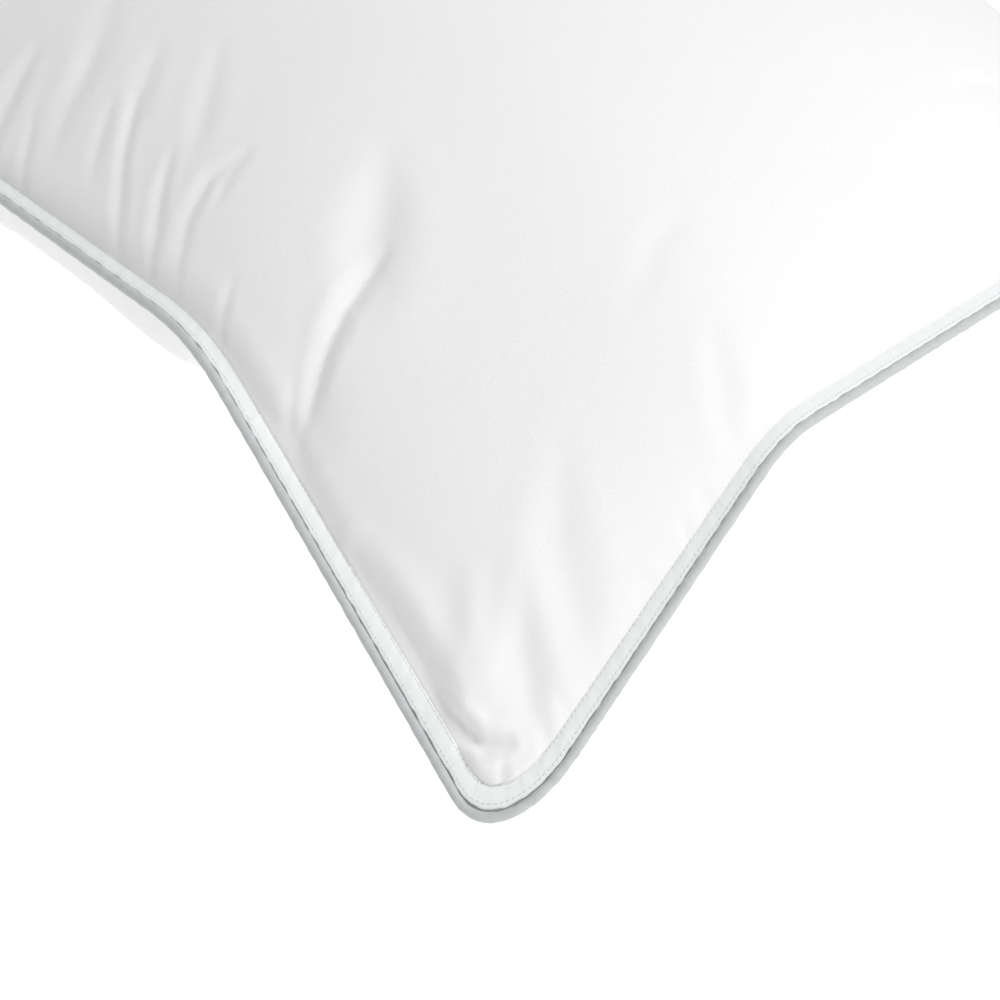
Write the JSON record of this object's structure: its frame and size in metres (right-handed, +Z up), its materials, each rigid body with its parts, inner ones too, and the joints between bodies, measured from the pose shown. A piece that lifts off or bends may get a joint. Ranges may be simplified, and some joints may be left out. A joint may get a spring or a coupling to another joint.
{
  "type": "bed pillow",
  "caption": "Stuffed rectangular bed pillow of white cotton, with a grey piped edge and a narrow double-stitched flange.",
  "frame": {"origin": "centre of the pillow's outline, on the surface that it rests on", "axes": "+X along the long sides, +Y along the short sides, +Z up out of the front panel"},
  "size_m": [0.6234, 0.4628, 0.1817],
  "materials": {
    "white_percale": "fine plain weave with a slight sheen",
    "white_fill": "loose fibre",
    "grey_tape": "bias-cut sateen with a soft sheen",
    "white_cord": "twisted cotton",
    "white_thread": "spun thread",
    "white_label": "smooth woven label"
  },
  "bodies": {
    "root": {"front_panel": "white_percale", "back_panel": "white_percale", "fibre_fill": "white_fill", "piping_tape": "grey_tape", "piping_cord": "white_cord", "outer_row_top_thread": "white_thread", "outer_row_under_thread": "white_thread", "inner_row_top_thread": "white_thread", "inner_row_under_thread": "white_thread", "care_label": "white_label"}
  },
  "joints": []
}
